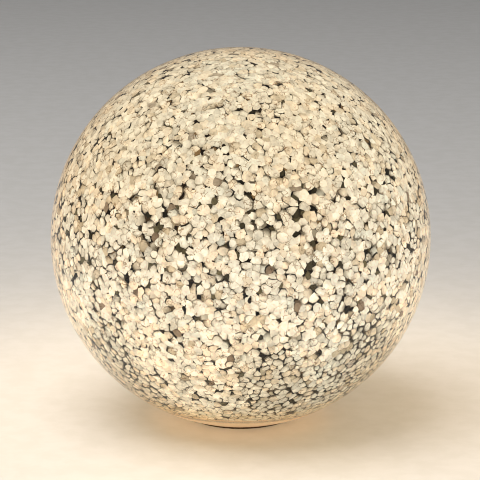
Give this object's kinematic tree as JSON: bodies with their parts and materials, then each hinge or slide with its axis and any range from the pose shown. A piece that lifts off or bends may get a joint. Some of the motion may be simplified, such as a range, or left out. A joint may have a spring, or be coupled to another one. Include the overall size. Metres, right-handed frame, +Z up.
{
  "type": "glass globe light",
  "caption": "Round glass globe lamp lined inside with cream granules, on a small dish foot with a battery cap and a slide switch underneath.",
  "frame": {"origin": "centre of the circle on which the foot ring stands", "axes": "+Z up along the globe's axis, +Y towards the side with the switch"},
  "size_m": [0.15, 0.15, 0.1478],
  "materials": {
    "clear_glass": "polished",
    "granules": "rough",
    "dish_plastic": "satin",
    "silicone": "satin",
    "foot_rubber": "matte",
    "cap_plastic": "satin",
    "seal_rubber": "satin",
    "foam": "matte",
    "tube_plastic": "satin",
    "screw_steel": "plated",
    "holder_plastic": "satin",
    "cell_wrap": "gloss",
    "spring_steel": "nickel plated",
    "contact_metal": "bright",
    "board": "satin",
    "lamp_phosphor": "gloss",
    "chip_case": "matte",
    "can_aluminium": "brushed",
    "opal_plastic": "satin",
    "switch_steel": "plated",
    "knob_plastic": "satin",
    "red_insulation": "satin",
    "black_insulation": "satin"
  },
  "bodies": {
    "lamp": {"glass_globe": "clear_glass", "granule_lining": "granules", "base_dish": "dish_plastic", "rim_seal": "silicone", "foot_ring": "foot_rubber", "tube_gasket": "seal_rubber", "battery_tube": "tube_plastic", "tube_screws": "screw_steel", "holder_frame": "holder_plastic", "holder_top": "holder_plastic", "holder_screws": "screw_steel", "battery_1": "cell_wrap", "battery_2": "cell_wrap", "battery_3": "cell_wrap", "cell_spring_1": "spring_steel", "cell_spring_2": "spring_steel", "cell_spring_3": "spring_steel", "bottom_bridge": "contact_metal", "top_bridge": "contact_metal", "bottom_plate": "contact_metal", "top_plate": "contact_metal", "positive_button": "contact_metal", "negative_ring": "contact_metal", "negative_strip": "contact_metal", "centre_spring": "spring_steel", "ring_spring": "spring_steel", "led_board": "board", "leds": "lamp_phosphor", "driver_chip": "chip_case", "resistors": "chip_case", "capacitor": "can_aluminium", "board_screws": "screw_steel", "diffuser_dome": "opal_plastic", "switch_body": "switch_steel", "switch_terminals": "contact_metal", "switch_screws": "screw_steel", "lead_red": "red_insulation", "lead_black": "black_insulation"},
    "cap_ring": {"cap_o_ring": "seal_rubber"},
    "cap": {"battery_cap": "cap_plastic", "cap_pad": "foam"},
    "knob": {"switch_knob": "knob_plastic"}
  },
  "joints": [
    {"name": "cap_travel", "type": "slide", "parent": "lamp", "child": "cap_ring", "axis": [0, 0, -1], "range_m": [0, 0.006]},
    {"name": "cap_turn", "type": "hinge", "parent": "cap_ring", "child": "cap", "pos_m": [0, 0, 0.0013], "axis": [0, 0, -1], "range_deg": [0, 1080]},
    {"name": "switch_slide", "type": "slide", "parent": "lamp", "child": "knob", "axis": [1, 0, 0], "range_m": [-0.002, 0.002]}
  ],
  "couplings": [
    {"joint": "cap_travel", "follows": "cap_turn", "m_per_rad": 0.0003183}
  ]
}
